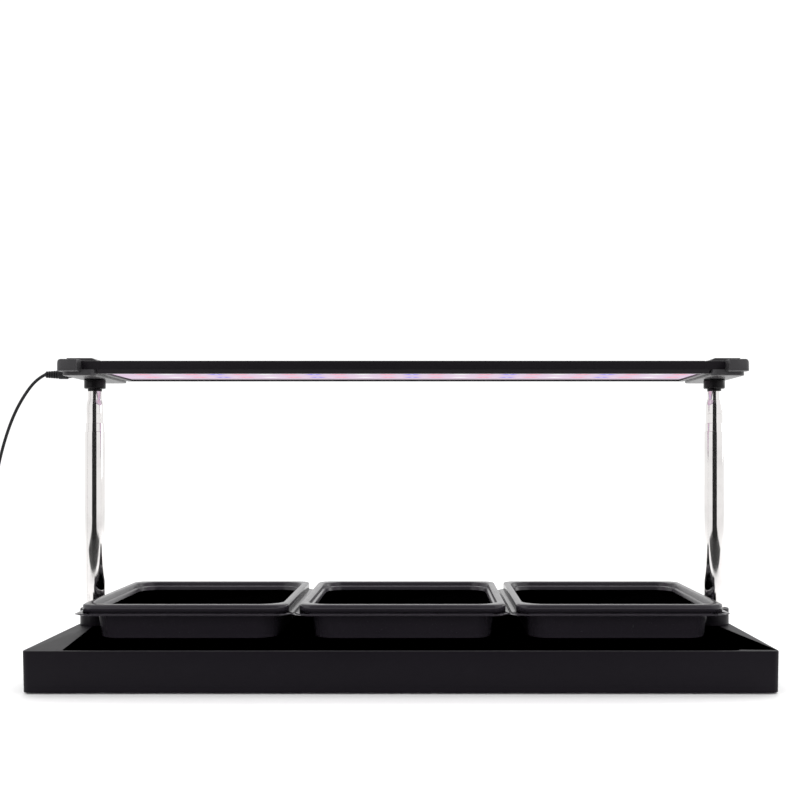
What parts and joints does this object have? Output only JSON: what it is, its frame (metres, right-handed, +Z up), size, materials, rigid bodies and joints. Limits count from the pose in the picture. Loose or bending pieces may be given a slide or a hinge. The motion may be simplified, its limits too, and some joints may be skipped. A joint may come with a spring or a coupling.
{
  "type": "led grow light",
  "caption": "Bench-top LED grow light: black base tray with seed trays, and a flat lamp on two telescopic posts that raise it.",
  "frame": {"origin": "middle of the base tray's footprint, on the surface it stands on", "axes": "+Z up, +X along the lamp to the right (the power lead is on the left), -Y towards the front"},
  "size_m": [0.952, 0.39, 0.3569],
  "materials": {
    "base_plastic": "black moulded plastic with a fine satin grain",
    "rubber": "soft black rubber",
    "socket_plastic": "satin black moulded plastic",
    "steel_screw": "zinc plated steel",
    "tube_chrome": "polished stainless steel",
    "guide_plastic": "white low-friction plastic",
    "tray_plastic": "glossy black vacuum-formed sheet",
    "collar_plastic": "glossy black plastic",
    "brass": "turned brass",
    "bracket_plastic": "satin black moulded plastic",
    "black_aluminium": "black powder coat on aluminium",
    "black_screw": "blackened steel",
    "diffuser_acrylic": "opal acrylic sheet",
    "circuit_board": "white solder mask",
    "led_white": "white LED package",
    "led_red": "red LED package",
    "led_blue": "blue LED package",
    "reflector_sheet": "matt white reflector sheet",
    "jack_plastic": "black nylon",
    "wire_red": "red wire insulation",
    "wire_black": "black wire insulation",
    "cord_sheath": "black flexible cord sheath",
    "tie_plastic": "black tie strap",
    "adapter_plastic": "black moulded plastic with a fine grain",
    "prong_metal": "nickel plated brass"
  },
  "bodies": {
    "base": {"base_tray": "base_plastic", "rubber_feet": "rubber", "left_post_socket": "socket_plastic", "right_post_socket": "socket_plastic", "socket_screws": "steel_screw", "set_screws": "black_screw", "left_tube_1": "tube_chrome", "right_tube_1": "tube_chrome", "dc_cord": "cord_sheath", "adapter_cord": "cord_sheath", "cord_coil": "cord_sheath", "coil_tie": "tie_plastic", "adapter_case_back": "adapter_plastic", "adapter_case_front": "adapter_plastic", "adapter_prongs": "prong_metal", "adapter_strain_relief": "cord_sheath"},
    "lamp_head": {"lamp_housing": "black_aluminium", "bezel": "black_aluminium", "bezel_screws": "black_screw", "diffuser": "diffuser_acrylic", "led_board": "circuit_board", "leds_white": "led_white", "leds_red": "led_red", "leds_blue": "led_blue", "reflector": "reflector_sheet", "board_screws": "steel_screw", "dc_jack": "jack_plastic", "lead_red": "wire_red", "lead_black": "wire_black", "dc_plug": "cord_sheath", "plug_strain_relief": "cord_sheath", "post_studs": "steel_screw", "insert_nuts": "brass", "bracket_screws": "black_screw", "left_tube_4": "tube_chrome", "left_guides_4": "guide_plastic", "left_tube_plug": "collar_plastic", "left_collar": "collar_plastic", "left_bracket_plate": "bracket_plastic", "left_bracket_cover": "bracket_plastic", "left_housing_cap": "black_aluminium", "right_tube_4": "tube_chrome", "right_guides_4": "guide_plastic", "right_tube_plug": "collar_plastic", "right_collar": "collar_plastic", "right_bracket_plate": "bracket_plastic", "right_bracket_cover": "bracket_plastic", "right_housing_cap": "black_aluminium"},
    "left_stage_2": {"left_tube_2": "tube_chrome", "left_guides_2": "guide_plastic"},
    "left_stage_3": {"left_tube_3": "tube_chrome", "left_guides_3": "guide_plastic"},
    "right_stage_2": {"right_tube_2": "tube_chrome", "right_guides_2": "guide_plastic"},
    "right_stage_3": {"right_tube_3": "tube_chrome", "right_guides_3": "guide_plastic"},
    "tray_left": {"seed_tray_left": "tray_plastic"},
    "tray_middle": {"seed_tray_middle": "tray_plastic"},
    "tray_right": {"seed_tray_right": "tray_plastic"}
  },
  "joints": [
    {"name": "lamp_height", "type": "slide", "parent": "base", "child": "lamp_head", "axis": [0, 0, 1], "range_m": [0, 0.51]},
    {"name": "left_stage_2_slide", "type": "slide", "parent": "base", "child": "left_stage_2", "axis": [0, 0, 1], "range_m": [0, 0.1702]},
    {"name": "left_stage_3_slide", "type": "slide", "parent": "base", "child": "left_stage_3", "axis": [0, 0, 1], "range_m": [0, 0.3402]},
    {"name": "right_stage_2_slide", "type": "slide", "parent": "base", "child": "right_stage_2", "axis": [0, 0, 1], "range_m": [0, 0.1702]},
    {"name": "right_stage_3_slide", "type": "slide", "parent": "base", "child": "right_stage_3", "axis": [0, 0, 1], "range_m": [0, 0.3402]},
    {"name": "lift_left_tray", "type": "slide", "parent": "base", "child": "tray_left", "axis": [0, 0, 1], "range_m": [0, 0.08]},
    {"name": "lift_middle_tray", "type": "slide", "parent": "base", "child": "tray_middle", "axis": [0, 0, 1], "range_m": [0, 0.08]},
    {"name": "lift_right_tray", "type": "slide", "parent": "base", "child": "tray_right", "axis": [0, 0, 1], "range_m": [0, 0.08]}
  ],
  "couplings": [
    {"joint": "left_stage_2_slide", "follows": "lamp_height", "ratio": 0.33333},
    {"joint": "left_stage_3_slide", "follows": "lamp_height", "ratio": 0.66667},
    {"joint": "right_stage_2_slide", "follows": "lamp_height", "ratio": 0.33333},
    {"joint": "right_stage_3_slide", "follows": "lamp_height", "ratio": 0.66667}
  ]
}
